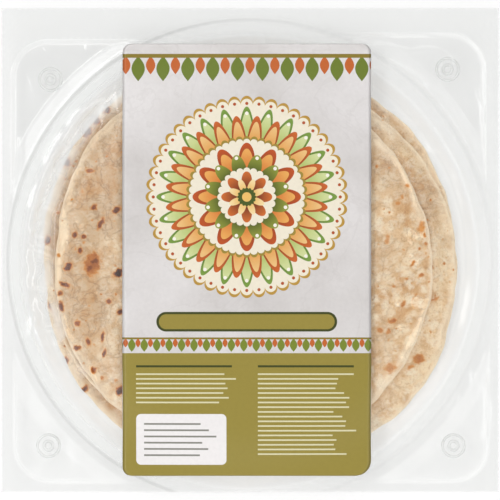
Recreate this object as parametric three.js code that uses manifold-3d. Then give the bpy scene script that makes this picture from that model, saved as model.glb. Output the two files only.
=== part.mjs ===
// A clear sealed pack of five round flatbreads with a printed front label, lying on its back.
// Millimetres, +Z up. The origin is on the surface that the pack lies on, under the middle of its outline.

import * as THREE from 'three';
import { mergeVertices } from 'three/addons/utils/BufferGeometryUtils.js';
import Module from 'manifold-3d';

// Sealed outline: two films welded into a thin square flange
const PACK_WIDTH = 254;
const PACK_LENGTH = 247;
const FLANGE_TOP = 9.5;
const FLANGE_THICKNESS = 0.8;

// Round cavity formed in the back film
const CAVITY_Y = -6;
const CAVITY_RIM_RADIUS = 115.5;
const CAVITY_FLOOR_RADIUS = 108;
const CAVITY_FLOOR_ROUND = 2.5;
const RIM_HEIGHT = 1.5;
const RIM_OVERLAP = 0.5;
const ROUND_SEGMENTS = 72;
const INNER_RING_STEP = 25;
const EDGE_RING_STEP = 2.25;

// Front film: crowned over the stack, sunk into a moat between the stack and the cavity's rim
const CROWN_RISE = 4.3;
const CROWN_FLAT_RADIUS = 82;
const MOAT_DEPTH = 4;
const MOAT_WALL_RUN = 6;
const DRAPE_SLOPE = 0.8;
const FILM_ALLOWANCE = 0.3;

// Breads from the bottom of the stack to the top, each a wavy round with one bulge at an angle in degrees
const BREADS = [
  { x: -4.5, y: -11, radius: 99.6, bulge: { height: 1.5, at: 215, spread: 30 } },
  { x: -5.5, y: -3.5, radius: 99.2, bulge: { height: 1.5, at: 140, spread: 30 } },
  { x: 5.5, y: -7, radius: 100.4, bulge: { height: 1.5, at: 40, spread: 25 } },
  { x: 5.5, y: -10, radius: 99.6, bulge: { height: 3, at: 320, spread: 25 } },
  { x: -3.8, y: -8.2, radius: 96.4, bulge: { height: 4.5, at: 133, spread: 22 } },
];
const EDGE_WAVES = [
  { count: 3, height: 0.5, turn: 1.7 },
  { count: 7, height: 0.35, turn: 2.9 },
];

// Corner pockets: shallow recesses between the square frame and the ring seal
const POCKET_CORNER_RADIUS = 19;
const POCKET_DEPTH = 5;
const POCKET_FLOOR_SCALE = 0.84;
const POCKET_DIP = 1.2;
const POCKET_DIP_SCALE = 0.94;
const POCKET_SEGMENTS = 16;
const POCKETS = [
  { frameX: -122, frameY: 107.4, sealRadius: 124.3, button: new THREE.Vector2(-102, 87.2) },
  { frameX: 120.4, frameY: 111, sealRadius: 125, button: new THREE.Vector2(101, 92.3) },
  { frameX: -121, frameY: -119.2, sealRadius: 127.5, button: new THREE.Vector2(-103, -100) },
  { frameX: 122.2, frameY: -119, sealRadius: 127.5, button: new THREE.Vector2(104, -100) },
];

// Moulded button in each pocket: a faint outer ring round a small cup
const BUTTON_RING_RADIUS = 6;
const BUTTON_RING_HEIGHT = 0.4;
const BUTTON_CUP_RADIUS = 2.3;
const BUTTON_CUP_HEIGHT = 0.9;
const BUTTON_WALL = 0.6;
const BUTTON_ROOT = 1;
const BUTTON_SEGMENTS = 16;

// Label stuck on the front film
const LABEL_LEFT = -65;
const LABEL_RIGHT = 61.7;
const LABEL_TOP = 105.2;
const LABEL_BOTTOM = -115.2;
const LABEL_THICKNESS = 0.4;
const LABEL_GAP = 0.3;
const LABEL_CORNER_RADIUS = 4.5;
const LABEL_LIFTED_CORNER_RADIUS = 8;
const LABEL_CELL = 7;
const LABEL_CORNER_SEGMENTS = 6;

const MERGE_TOLERANCE = 1e-4;

const wasm = await Module();
wasm.setup();

const { euclideanModulo, radToDeg, smoothstep } = THREE.MathUtils;

// Closed three.js geometry to a solid, with shared corners merged and empty triangles dropped.
function solidOf(geometry) {
  geometry.deleteAttribute('normal');
  geometry.deleteAttribute('uv');
  const merged = mergeVertices(geometry, MERGE_TOLERANCE);
  const corners = merged.index.array;
  const triangles = [];
  for (let i = 0; i < corners.length; i += 3) {
    const [a, b, c] = corners.slice(i, i + 3);
    if (a !== b && b !== c && c !== a) triangles.push(a, b, c);
  }
  return new wasm.Manifold(new wasm.Mesh({
    numProp: 3,
    vertProperties: Float32Array.from(merged.attributes.position.array),
    triVerts: Uint32Array.from(triangles),
  }));
}

function meshOf(name, solid, colour, roughness) {
  const { vertProperties, triVerts } = solid.getMesh();
  const geometry = new THREE.BufferGeometry();
  geometry.setAttribute('position', new THREE.BufferAttribute(vertProperties, 3));
  geometry.setIndex(new THREE.BufferAttribute(triVerts, 1));
  geometry.computeVertexNormals();
  const material = new THREE.MeshStandardMaterial({ color: colour, roughness, metalness: 0 });
  const mesh = new THREE.Mesh(geometry, material);
  mesh.name = name;
  return mesh;
}

// Moves every corner of a geometry by a rule that changes the vector it is given.
function reshape(geometry, rule) {
  const { position } = geometry.attributes;
  const corner = new THREE.Vector3();
  for (let i = 0; i < position.count; i += 1) {
    corner.fromBufferAttribute(position, i);
    rule(corner);
    position.setXYZ(i, corner.x, corner.y, corner.z);
  }
  return geometry;
}

// Solid of revolution about +Z from [radius, height] pairs that start and end on the axis.
function turned(profile, segments) {
  const points = profile.map(([radius, height]) => new THREE.Vector2(radius, height));
  return new THREE.LatheGeometry(points, segments).rotateX(Math.PI / 2);
}

// Height of the label's film: a flat crown that eases down to the flange at the cavity's rim.
function crownHeight(fromAxis) {
  return FLANGE_TOP + CROWN_RISE * (1 - smoothstep(fromAxis, CROWN_FLAT_RADIUS, CAVITY_RIM_RADIUS));
}

// Top of one bread: the stack fills the height under the crown in equal shares.
function breadTop(level, fromAxis) {
  return FILM_ALLOWANCE + level * (crownHeight(fromAxis) - 2 * FILM_ALLOWANCE) / BREADS.length;
}

// How far a point lies outside a bread's wavy edge, negative inside.
function beyondBread(bread, level, x, y) {
  const angle = Math.atan2(y - bread.y, x - bread.x);
  const wave = EDGE_WAVES.reduce(
    (sum, { count, height, turn }) => sum + height * Math.sin(count * angle + level * turn), 0);
  const { height, at, spread } = bread.bulge;
  const fromBulge = euclideanModulo(radToDeg(angle) - at + 180, 360) - 180;
  const bulge = height * Math.exp(-((fromBulge / spread) ** 2));
  return Math.hypot(x - bread.x, y - bread.y) - bread.radius - wave - bulge;
}

function beyondLabel(x, y) {
  const dx = Math.max(LABEL_LEFT - x, 0, x - LABEL_RIGHT);
  const dy = Math.max(LABEL_BOTTOM - y, 0, y - LABEL_TOP);
  return Math.hypot(dx, dy);
}

// Front film: it lies on each bread, falls away from each edge at one slope and rests in the moat.
function lidHeight(x, y) {
  const fromAxis = Math.hypot(x, y - CAVITY_Y);
  const moatWall = smoothstep(fromAxis, CAVITY_RIM_RADIUS - MOAT_WALL_RUN, CAVITY_RIM_RADIUS);
  const moat = FLANGE_TOP - MOAT_DEPTH * (1 - moatWall);
  const overBreads = BREADS.map((bread, i) => breadTop(i + 1, fromAxis)
    - DRAPE_SLOPE * Math.max(0, beyondBread(bread, i + 1, x, y)));
  const underLabel = crownHeight(fromAxis) - DRAPE_SLOPE * beyondLabel(x, y);
  return Math.max(moat, underLabel, ...overBreads);
}

// Round cavity with its floor on the ground and its top shaped by the front film.
function cavityBody() {
  const profile = [[0, 0]];
  for (const turn of [0, Math.PI / 4, Math.PI / 2]) {
    profile.push([
      CAVITY_FLOOR_RADIUS + CAVITY_FLOOR_ROUND * Math.sin(turn),
      CAVITY_FLOOR_ROUND * (1 - Math.cos(turn)),
    ]);
  }
  profile.push([CAVITY_RIM_RADIUS, FLANGE_TOP - RIM_HEIGHT]);
  let radius = CAVITY_RIM_RADIUS;
  while (radius > 0) {
    profile.push([radius, FLANGE_TOP]);
    radius -= radius > CROWN_FLAT_RADIUS ? EDGE_RING_STEP : INNER_RING_STEP;
  }
  profile.push([0, FLANGE_TOP]);
  const body = turned(profile, ROUND_SEGMENTS).translate(0, CAVITY_Y, 0);
  return solidOf(reshape(body, (corner) => {
    if (corner.z === FLANGE_TOP) corner.z = lidHeight(corner.x, corner.y);
  }));
}

// Square flange with the cavity's mouth cut out, a little inside the rim so that both join.
function flange() {
  const [right, back] = [PACK_WIDTH / 2, PACK_LENGTH / 2];
  const outline = new THREE.Shape([
    new THREE.Vector2(-right, -back), new THREE.Vector2(right, -back),
    new THREE.Vector2(right, back), new THREE.Vector2(-right, back),
  ]);
  outline.holes.push(new THREE.Path().absarc(
    0, CAVITY_Y, CAVITY_RIM_RADIUS - RIM_OVERLAP, 0, 2 * Math.PI, true));
  const plate = new THREE.ExtrudeGeometry(outline, {
    depth: FLANGE_THICKNESS, bevelEnabled: false, curveSegments: ROUND_SEGMENTS,
  });
  return solidOf(plate.translate(0, 0, FLANGE_TOP - FLANGE_THICKNESS));
}

// Outline of a corner pocket: two frame sides with a round corner, closed by an arc of the ring seal.
function pocketOutline({ frameX, frameY, sealRadius }) {
  const [side, up] = [Math.sign(frameX), Math.sign(frameY)];
  const reach = frameY - CAVITY_Y;
  const sideTip = CAVITY_Y + up * Math.sqrt(sealRadius ** 2 - frameX ** 2);
  const endTip = side * Math.sqrt(sealRadius ** 2 - reach ** 2);
  const clockwise = side * up < 0;
  const outline = new THREE.Shape().moveTo(frameX, sideTip);
  outline.absarc(
    frameX - side * POCKET_CORNER_RADIUS, frameY - up * POCKET_CORNER_RADIUS, POCKET_CORNER_RADIUS,
    side > 0 ? 0 : Math.PI, up * Math.PI / 2, clockwise);
  outline.absarc(
    0, CAVITY_Y, sealRadius,
    Math.atan2(reach, endTip), Math.atan2(sideTip - CAVITY_Y, frameX), !clockwise);
  return outline;
}

// Prism of a pocket's outline between two heights, drawn in towards the button at its lower end.
function pocketPrism(pocket, low, high, scales) {
  const centre = pocket.button;
  const prism = new THREE.ExtrudeGeometry(pocketOutline(pocket), {
    depth: high - low, bevelEnabled: false, curveSegments: POCKET_SEGMENTS,
  }).translate(0, 0, low);
  const middle = (low + high) / 2;
  return solidOf(reshape(prism, (corner) => {
    const scale = corner.z < middle ? scales.low : scales.high;
    corner.x = centre.x + scale * (corner.x - centre.x);
    corner.y = centre.y + scale * (corner.y - centre.y);
  }));
}

function buttonAt(centre) {
  const profile = [
    [0, -BUTTON_ROOT],
    [BUTTON_RING_RADIUS + BUTTON_WALL, -BUTTON_ROOT],
    [BUTTON_RING_RADIUS + BUTTON_WALL, 0],
    [BUTTON_RING_RADIUS, BUTTON_RING_HEIGHT],
    [BUTTON_RING_RADIUS - BUTTON_WALL, 0],
    [BUTTON_CUP_RADIUS + BUTTON_WALL, 0],
    [BUTTON_CUP_RADIUS, BUTTON_CUP_HEIGHT],
    [BUTTON_CUP_RADIUS - BUTTON_WALL, BUTTON_CUP_HEIGHT],
    [BUTTON_CUP_RADIUS - 2 * BUTTON_WALL, 0],
    [0, 0],
  ];
  return solidOf(turned(profile, BUTTON_SEGMENTS).translate(centre.x, centre.y, FLANGE_TOP - POCKET_DIP));
}

// The pack is filled: film, flatbreads and the air between them are one solid.
function sealedPack() {
  let pack = flange().add(cavityBody());
  for (const pocket of POCKETS) {
    const bulge = pocketPrism(
      pocket, FLANGE_TOP - POCKET_DEPTH, FLANGE_TOP, { low: POCKET_FLOOR_SCALE, high: 1 });
    const dip = pocketPrism(
      pocket, FLANGE_TOP - POCKET_DIP, FLANGE_TOP + POCKET_DIP, { low: POCKET_DIP_SCALE, high: 1 });
    pack = pack.add(bulge).subtract(dip).add(buttonAt(pocket.button));
  }
  return pack;
}

function roundedRectangle() {
  const r = LABEL_CORNER_RADIUS;
  const lifted = LABEL_LIFTED_CORNER_RADIUS;
  const quarter = Math.PI / 2;
  const outline = new THREE.Shape().moveTo(LABEL_LEFT + r, LABEL_BOTTOM);
  outline.absarc(LABEL_RIGHT - lifted, LABEL_BOTTOM + lifted, lifted, -quarter, 0, false);
  outline.absarc(LABEL_RIGHT - r, LABEL_TOP - r, r, 0, quarter, false);
  outline.absarc(LABEL_LEFT + r, LABEL_TOP - r, r, quarter, 2 * quarter, false);
  outline.absarc(LABEL_LEFT + r, LABEL_BOTTOM + r, r, 2 * quarter, 3 * quarter, false);
  return outline;
}

// Thin sheet that follows the front film's crown, trimmed to a rectangle with round corners.
function labelSheet() {
  const width = LABEL_RIGHT - LABEL_LEFT;
  const length = LABEL_TOP - LABEL_BOTTOM;
  const sheet = new THREE.BoxGeometry(
    width, length, LABEL_THICKNESS, Math.round(width / LABEL_CELL), Math.round(length / LABEL_CELL), 1);
  sheet.translate((LABEL_LEFT + LABEL_RIGHT) / 2, (LABEL_TOP + LABEL_BOTTOM) / 2, LABEL_THICKNESS / 2);
  reshape(sheet, (corner) => {
    corner.z += LABEL_GAP + crownHeight(Math.hypot(corner.x, corner.y - CAVITY_Y));
  });
  const trim = new THREE.ExtrudeGeometry(roundedRectangle(), {
    depth: 2 * FLANGE_TOP, bevelEnabled: false, curveSegments: LABEL_CORNER_SEGMENTS,
  });
  return solidOf(sheet).intersect(solidOf(trim));
}

const pack = new THREE.Group();
pack.add(meshOf('sealed_pack', sealedPack(), 0xdcc6a8, 0.35));
pack.add(meshOf('label', labelSheet(), 0xa09040, 0.45));

export default pack;
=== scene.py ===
"""A clear sealed pack of five round flatbreads with a printed label, lying on its back, seen from above.

The shapes are height fields in millimetres over the pack's plan, X to the right and Y up the label.
"""
import math

import bpy
import numpy as np
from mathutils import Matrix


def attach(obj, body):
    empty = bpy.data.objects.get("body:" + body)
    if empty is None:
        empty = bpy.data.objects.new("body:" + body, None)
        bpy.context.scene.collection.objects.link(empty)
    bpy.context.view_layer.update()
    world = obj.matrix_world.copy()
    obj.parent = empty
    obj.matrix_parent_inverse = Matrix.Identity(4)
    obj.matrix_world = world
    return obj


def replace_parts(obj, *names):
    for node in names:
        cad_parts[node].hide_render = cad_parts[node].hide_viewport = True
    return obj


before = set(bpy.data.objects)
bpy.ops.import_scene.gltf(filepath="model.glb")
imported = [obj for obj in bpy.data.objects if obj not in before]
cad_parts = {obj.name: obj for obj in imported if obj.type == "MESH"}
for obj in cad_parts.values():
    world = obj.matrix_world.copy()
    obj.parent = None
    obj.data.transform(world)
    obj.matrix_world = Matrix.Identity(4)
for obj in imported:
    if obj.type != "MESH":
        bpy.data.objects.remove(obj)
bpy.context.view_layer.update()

MM = 0.001
BODY = "root"

# Sealed film: the flange, the round cavity and the crown over the stack
PACK_WIDTH = 254.0
PACK_LENGTH = 247.0
FLANGE_TOP = 9.5
FILM_PAIR = 0.35
CAVITY_Y = -6.0
RIM_RADIUS = 115.5
FLOOR_RADIUS = 108.0
FLOOR_ROUND = 2.5
FLOOR_LIFT = 0.06
CROWN_RISE = 4.3
CROWN_FLAT_RADIUS = 82.0
MOAT_DEPTH = 4.0
MOAT_WALL_RUN = 6.0
LABEL_DRAPE_RUN = 14.0
BREAD_DRAPE = 1.3
LOOSE_DRAPE = 0.55
CREASE_ROUND = 0.3
RIM_ROUND = 1.2
SEAL_GROOVE_RADIUS = 123.5

# Corner pockets between the square frame and the ring seal: side and end of the frame, seal radius, button
POCKETS = {
    (-1, 1): (122.0, 107.4, 124.3, (-102.0, 87.2)),
    (1, 1): (120.4, 111.0, 125.0, (101.0, 92.3)),
    (-1, -1): (121.0, -119.2, 127.5, (-103.0, -100.0)),
    (1, -1): (122.2, -119.0, 127.5, (104.0, -100.0)),
}
POCKET_CORNER_RADIUS = 19.0
POCKET_DEPTH = 5.0
POCKET_FRAME_RUN = 2.4
POCKET_SEAL_RUN = 9.0
POCKET_LID_RUN = 6.2
POCKET_DIP = 1.2
POCKET_TAUT_DIP = 2.5

# Label on the front film
LABEL_LEFT = -65.0
LABEL_RIGHT = 61.7
LABEL_TOP = 105.2
LABEL_BOTTOM = -115.2
LABEL_LIFT = 0.15
LABEL_THICKNESS = 0.3
LABEL_CORNER = 4.5
LABEL_BENT_CORNER = 8.0

# Breads from the bottom of the stack to the top: centre, radius and a bulge (height, angle, spread)
BREADS = (
    ((-4.5, -11.0), 99.6, (1.5, 215, 30)),
    ((-5.5, -3.5), 99.2, (3.3, 140, 30)),
    ((5.5, -7.0), 100.4, (1.5, 40, 25)),
    ((5.5, -10.0), 99.6, (3.0, 320, 25)),
    ((-3.8, -8.2), 96.4, (4.5, 133, 22)),
)
STACK_BASE = 0.3
STACK_CLEARANCE = 2.3
FILM_CLEARANCE = 0.35
BREAD_GAP = 0.1
BREAD_SAG = 0.28
BREAD_EDGE_ROUND = 1.9

# Char spots on the top bread: x, y, half length, half width, turn in degrees, darkness
TOP_CHAR = (
    (-79.6, 21.9, 1.7, 1.1, 35, 0.75),
    (-68.0, 20.4, 2.3, 1.4, 35, 0.85),
    (-76.1, 13.4, 2.9, 1.1, 65, 0.80),
    (-89.3, 7.8, 1.6, 1.2, 80, 0.78),
    (-84.9, 6.6, 1.5, 1.1, 40, 0.70),
    (-86.7, -0.4, 1.7, 1.1, 90, 0.74),
    (-80.4, -7.0, 6.2, 4.2, 80, 0.50),
    (-79.0, -5.6, 2.4, 1.5, 25, 0.72),
    (-82.0, -9.4, 2.0, 1.5, 70, 0.62),
    (-92.7, -8.6, 2.3, 1.6, 50, 0.95),
    (-67.0, -11.7, 2.7, 1.8, 35, 1.00),
    (-94.1, -17.8, 2.7, 1.1, -20, 0.78),
    (-97.0, -22.1, 1.3, 1.2, 0, 0.72),
    (-96.4, -28.8, 2.7, 1.2, -78, 0.78),
    (-72.1, -26.2, 1.3, 1.2, 0, 0.78),
    (-66.0, -31.4, 1.7, 1.2, 20, 0.90),
    (-88.0, -37.4, 1.6, 1.4, 0, 0.62),
    (-75.0, -43.9, 2.7, 0.8, 80, 0.78),
    (-82.4, -46.9, 2.0, 1.1, -75, 0.74),
    (-88.3, -50.0, 1.8, 1.3, 10, 0.78),
    (-74.2, -52.5, 2.0, 0.9, 75, 0.74),
    (-79.6, -61.2, 1.7, 1.5, 0, 0.65),
    (-66.3, -71.8, 2.2, 1.7, 70, 0.95),
    (-81.6, 40.4, 2.0, 1.2, 0, 0.62),
    (-97.6, -2.6, 1.0, 0.9, 0, 0.45),
    (79.9, 32.8, 1.4, 0.9, 0, 0.38),
    (77.5, 27.0, 1.6, 0.8, 80, 0.34),
    (75.4, 23.9, 1.4, 0.9, 10, 0.36),
    (69.8, 5.0, 2.9, 1.2, 80, 0.33),
    (87.3, 11.5, 3.4, 2.0, 75, 0.34),
    (89.6, 3.1, 1.0, 0.9, 0, 0.40),
    (82.8, -7.1, 1.9, 0.8, 55, 0.41),
    (87.1, -13.0, 1.6, 1.1, 40, 0.43),
    (84.2, -23.3, 1.9, 0.6, 55, 0.33),
    (78.1, -27.5, 1.9, 1.1, 90, 0.44),
    (72.7, -36.2, 2.0, 1.3, 15, 0.53),
    (66.3, -41.0, 1.5, 1.3, 0, 0.47),
    (70.4, -41.6, 1.7, 1.2, 70, 0.38),
    (71.4, -60.2, 3.2, 2.8, 30, 0.34),
)
# Pale flaps of the top bread's folded lip, as above
TOP_FLAPS = (
    (-95.6, 13.0, 10.5, 3.0, 97, 1.0),
    (-92.5, 33.0, 9.0, 1.8, 68, 0.8),
    (-97.6, -12.0, 8.0, 1.6, 92, 0.7),
    (-92.0, -44.0, 12.0, 1.5, -64, 0.7),
)
# Char spots on the breads below: level in the stack, then as above
LOWER_CHAR = (
    (4, 86.2, -55.6, 3.0, 2.6, 0, 0.44),
    (4, 82.0, -59.7, 2.4, 1.1, 35, 0.36),
    (4, 95.1, -24.8, 1.8, 1.0, 20, 0.36),
    (2, -73.0, 71.6, 1.8, 1.3, 40, 0.90),
    (2, -78.4, 66.0, 1.8, 1.5, 50, 0.90),
    (2, -83.0, 60.6, 2.6, 1.7, 60, 0.95),
    (2, -93.6, 44.6, 2.2, 1.6, 70, 0.90),
    (2, -103.4, 5.1, 2.0, 1.5, 70, 0.90),
    (1, -101.5, -28.0, 2.2, 1.6, 80, 0.90),
    (1, -94.6, -57.1, 2.3, 1.4, 60, 0.85),
    (1, -84.6, -71.4, 2.3, 1.2, 60, 0.90),
)

# Main folds of the front film: both ends, half width and height
FILM_FOLDS = (
    (-114.8, 98.4, -107.5, 76.0, 4.2, 1.0),
    (-106.1, 105.1, -103.0, 101.0, 1.0, 0.68),
    (-83.6, 106.6, -83.1, 102.0, 0.9, 0.68),
    (-120.9, 88.7, -117.3, 83.6, 1.4, 0.51),
    (-117.3, 57.6, -119.9, 28.0, 1.3, 1.02),
    (61.2, 104.0, 81.6, 101.0, 1.6, 0.85),
    (81.6, 101.0, 96.9, 102.0, 1.7, 0.85),
    (96.9, 102.0, 103.5, 94.9, 1.8, 0.85),
    (71.4, 109.0, 100.0, 106.6, 0.9, 0.59),
    (70.4, 95.9, 89.8, 83.6, 1.4, 0.68),
    (115.3, 82.6, 118.8, 63.8, 1.1, 0.85),
    (-112.2, -96.9, -96.9, -101.0, 4.0, 0.9),
    (-109.1, -116.0, -95.9, -105.0, 3.6, 0.9),
    (-91.8, -96.9, -87.7, -114.8, 4.0, 0.8),
    (113.2, -62.2, 114.2, -77.5, 1.6, 1.1),
    (118.6, -63.8, 119.6, -96.9, 1.5, 1.0),
    (106.1, -72.9, 100.0, -83.6, 1.6, 0.68),
    (-103.5, 42.0, -93.0, 60.0, 3.2, 1.5),
    (-92.5, 62.0, -84.0, 72.0, 2.6, 1.2),
    (-113.7, 7.1, -104.6, 13.8, 0.9, 0.85),
    (-113.2, 6.1, -103.0, 4.6, 0.9, 0.85),
    (-112.5, -6.0, -109.0, -26.0, 3.2, 1.5),
    (-111.5, -44.0, -107.5, -31.0, 2.6, 1.2),
    (-110.5, 20.0, -104.0, 36.0, 2.8, 1.3),
    (-104.5, -52.0, -97.0, -69.0, 2.8, 0.7),
    (-91.0, -78.0, -79.0, -91.0, 2.6, 0.5),
    (78.0, 66.5, 96.0, 50.0, 3.4, 1.3),
    (79.6, -79.6, 92.3, -68.3, 0.8, 0.77),
    (70.9, -90.8, 76.0, -84.7, 0.8, 0.77),
)


def linear(hex_colour):
    """sRGB hex such as "#D8BFA2" to a linear RGBA tuple."""
    parts = [int(hex_colour[i:i + 2], 16) / 255 for i in (1, 3, 5)]
    return (*[c / 12.92 if c <= 0.04045 else ((c + 0.055) / 1.055) ** 2.4 for c in parts], 1.0)


def add(tree, kind, inputs=(), out=0, **settings):
    """Adds a node, sets its properties, feeds its inputs with values or sockets, and gives one output.
    A colour Mix has its share, under and over colours at inputs 0, 6 and 7 and its result at output 2."""
    node = tree.nodes.new("ShaderNode" + kind)
    for name, value in settings.items():
        setattr(node, name, value)
    for key, value in inputs.items() if isinstance(inputs, dict) else enumerate(inputs):
        if isinstance(value, bpy.types.NodeSocket):
            tree.links.new(value, node.inputs[key])
        else:
            node.inputs[key].default_value = value
    return node.outputs[out]


def new_material(name):
    """A material with an empty node tree, and that tree."""
    material = bpy.data.materials.new(name)
    material.use_nodes = True
    material.node_tree.nodes.clear()
    return material, material.node_tree


# Fields and grids


def smooth(t):
    """0 below 0, 1 above 1 and an S-curve between."""
    t = np.clip(t, 0.0, 1.0)
    return t * t * (3 - 2 * t)


def hump(d, spread):
    """A bell of height 1 at d = 0."""
    return np.exp(-(d / spread) ** 2)


def ripples(u, v, length, seed, waves=10):
    """A random field of about -1..1: plane waves of about one length, added in seeded directions."""
    rng = np.random.default_rng(seed)
    turns, phases = rng.uniform(0, 2 * math.pi, (2, waves))
    rates = 2 * math.pi / length * rng.uniform(0.7, 1.35, waves)
    total = sum(
        np.cos(rate * (math.cos(turn) * u + math.sin(turn) * v) + phase)
        for rate, turn, phase in zip(rates, turns, phases)
    )
    return total * math.sqrt(2 / waves) / 1.6


def creases(u, v, length, seed):
    """Sharp ridges of height 1 along the zero lines of a random field, falling to 0 between them."""
    return 1 - np.minimum(1, 2.2 * np.abs(ripples(u, v, length, seed)))


def stretches(*parts):
    """Grid lines from (start, end, step) parts that follow one another, without the last end."""
    return np.concatenate([
        np.linspace(start, end, max(1, round((end - start) / step)), endpoint=False)
        for start, end, step in parts
    ])


def from_axis(x, y):
    """Distance from the cavity's upright axis."""
    return np.hypot(x, y - CAVITY_Y)


def crown_height(r):
    """Film under the label: flat in the middle, then an S-curve down to the flange at the cavity's rim."""
    way_out = (r - CROWN_FLAT_RADIUS) / (RIM_RADIUS - CROWN_FLAT_RADIUS)
    return FLANGE_TOP + CROWN_RISE * (1 - smooth(way_out))


def soft_max(heights, blend):
    """The highest of several surfaces, with the creases where they cross rounded off."""
    return blend * np.logaddexp.reduce(np.array(heights) / blend, axis=0)


def bread_radius(level, angle):
    """A bread's edge: a circle with one soft bulge and a few seeded waves."""
    _, radius, (height, at, spread) = BREADS[level - 1]
    off = (np.degrees(angle) - at + 180) % 360 - 180
    waves = 0.5 * np.sin(3 * angle + 1.7 * level) + 0.35 * np.sin(7 * angle + 2.9 * level)
    fine = 0.3 * np.sin(17 * angle + 0.8 * level) + 0.18 * np.sin(31 * angle + 5.1 * level)
    fine = fine + 0.14 * np.sin(53 * angle + 2.3 * level)
    return radius + height * hump(off, spread) + waves + fine


def beyond_bread(level, x, y):
    """How far a point lies outside a bread's edge, negative inside."""
    (cx, cy), _, _ = BREADS[level - 1]
    return np.hypot(x - cx, y - cy) - bread_radius(level, np.arctan2(y - cy, x - cx))


def beyond_label(x, y):
    """Distance outside the label's rectangle, 0 inside."""
    dx = np.maximum(np.maximum(LABEL_LEFT - x, x - LABEL_RIGHT), 0)
    dy = np.maximum(np.maximum(LABEL_BOTTOM - y, y - LABEL_TOP), 0)
    return np.hypot(dx, dy)


def stack_heights(x, y):
    """Under and upper faces of the breads, from the bottom up. Each lies on the highest bread below it,
    sags at one slope past that one's edge, and takes an equal share of the height under the crown."""
    share = (crown_height(from_axis(x, y)) - STACK_CLEARANCE - STACK_BASE) / len(BREADS)
    supports = [np.full_like(share, STACK_BASE)]
    faces = []
    for level in range(1, len(BREADS) + 1):
        under = soft_max(supports, CREASE_ROUND) if level > 1 else supports[0]
        upper = under + share
        faces.append((under + BREAD_GAP, upper))
        supports.append(upper - BREAD_SAG * np.maximum(beyond_bread(level, x, y), 0))
    return faces


def into_pocket(x, y, seal_run):
    """0 outside the corner pockets, rising to 1 over the frame's wall and over a given run at the seal."""
    deepest = np.zeros_like(x)
    for (side, end), (frame_x, frame_y, seal_radius, _) in POCKETS.items():
        qx = side * x - frame_x + POCKET_CORNER_RADIUS
        qy = end * (y - frame_y) + POCKET_CORNER_RADIUS
        corner = np.hypot(np.maximum(qx, 0), np.maximum(qy, 0)) + np.minimum(np.maximum(qx, qy), 0)
        from_frame = (POCKET_CORNER_RADIUS - corner) / POCKET_FRAME_RUN
        from_seal = (from_axis(x, y) - seal_radius) / seal_run
        here = (side * x > 0) & (end * (y - CAVITY_Y) > 0)
        deepest = np.where(here, np.clip(np.minimum(from_frame, from_seal), 0, 1), deepest)
    return deepest


def off_breads(x, y):
    """0 where the front film clings to a bread, 1 where it hangs free: past the stack, and on the left
    already past the top bread's edge."""
    past = [beyond_bread(level, x, y) for level in range(1, len(BREADS) + 1)]
    left = smooth((-30 - x) / 30)
    return smooth((np.min(past, axis=0) * (1 - left) + past[-1] * left + 1) / 4)


def film_folds(x, y):
    """Ridges along the main folds: a bell across each fold that fades out at both its ends."""
    total = np.zeros_like(x)
    for x0, y0, x1, y1, width, height in FILM_FOLDS:
        length = math.hypot(x1 - x0, y1 - y0)
        ux, uy = (x1 - x0) / length, (y1 - y0) / length
        along = (x - x0) * ux + (y - y0) * uy
        bow = 0.06 * length * np.sin(math.pi * along / length)
        across = (y - y0) * ux - (x - x0) * uy - bow
        fade = smooth((along + width) / (2.5 * width)) * smooth((length + width - along) / (2.5 * width))
        total += height * hump(across, width) * fade
    return total


# Meshes


def new_piece(name, points, faces, material, attributes=None):
    """A smooth mesh object from points in millimetres, at the origin, riding on the pack."""
    mesh = bpy.data.meshes.new(name)
    mesh.from_pydata((np.asarray(points) * MM).tolist(), [], faces)
    mesh.polygons.foreach_set("use_smooth", np.ones(len(mesh.polygons), dtype=bool))
    for key, values in (attributes or {}).items():
        mesh.attributes.new(key, "FLOAT", "POINT").data.foreach_set("value", values.astype(np.float32))
    mesh.materials.append(material)
    mesh.update()
    piece = bpy.data.objects.new(name, mesh)
    bpy.context.scene.collection.objects.link(piece)
    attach(piece, BODY)
    return piece


def sheet_faces(rows, columns):
    """Quads between the lines of a grid whose points run along its columns, facing up."""
    first = (np.arange(rows - 1)[:, None] * columns + np.arange(columns - 1)).ravel()
    return np.stack([first, first + 1, first + columns + 1, first + columns], 1)


def two_sheets(x, y, upper, lower):
    """A closed shell: an upper and a lower sheet over the same plan grid, joined along their border."""
    rows, columns = x.shape
    border = np.zeros(x.shape, dtype=bool)
    border[[0, -1]] = True
    border[:, [0, -1]] = True
    inner = ~border.ravel()
    below = np.arange(x.size)
    below[inner] = x.size + np.arange(inner.sum())
    top = np.stack([x, y, np.where(border, (upper + lower) / 2, upper)], -1).reshape(-1, 3)
    bottom = np.stack([x, y, lower], -1).reshape(-1, 3)[inner]
    faces = sheet_faces(rows, columns)
    return np.concatenate([top, bottom]), np.concatenate([faces, below[faces[:, ::-1]]]).tolist(), inner


def ring_faces(rings, columns):
    """Quads between closed rings of points that run anticlockwise, and fans to a first and a last point."""
    start = 1 + np.arange(rings - 1)[:, None] * columns
    here = np.arange(columns)
    after = (here + 1) % columns
    quads = np.stack(
        [start + here, start + columns + here, start + columns + after, start + after], -1
    ).reshape(-1, 4).tolist()
    last = 1 + rings * columns
    rim = last - columns
    first_fan = np.stack([np.zeros(columns, int), 1 + here, 1 + after], 1).tolist()
    last_fan = np.stack([np.full(columns, last), rim + after, rim + here], 1).tolist()
    return quads + first_fan + last_fan


# Flatbreads


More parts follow.
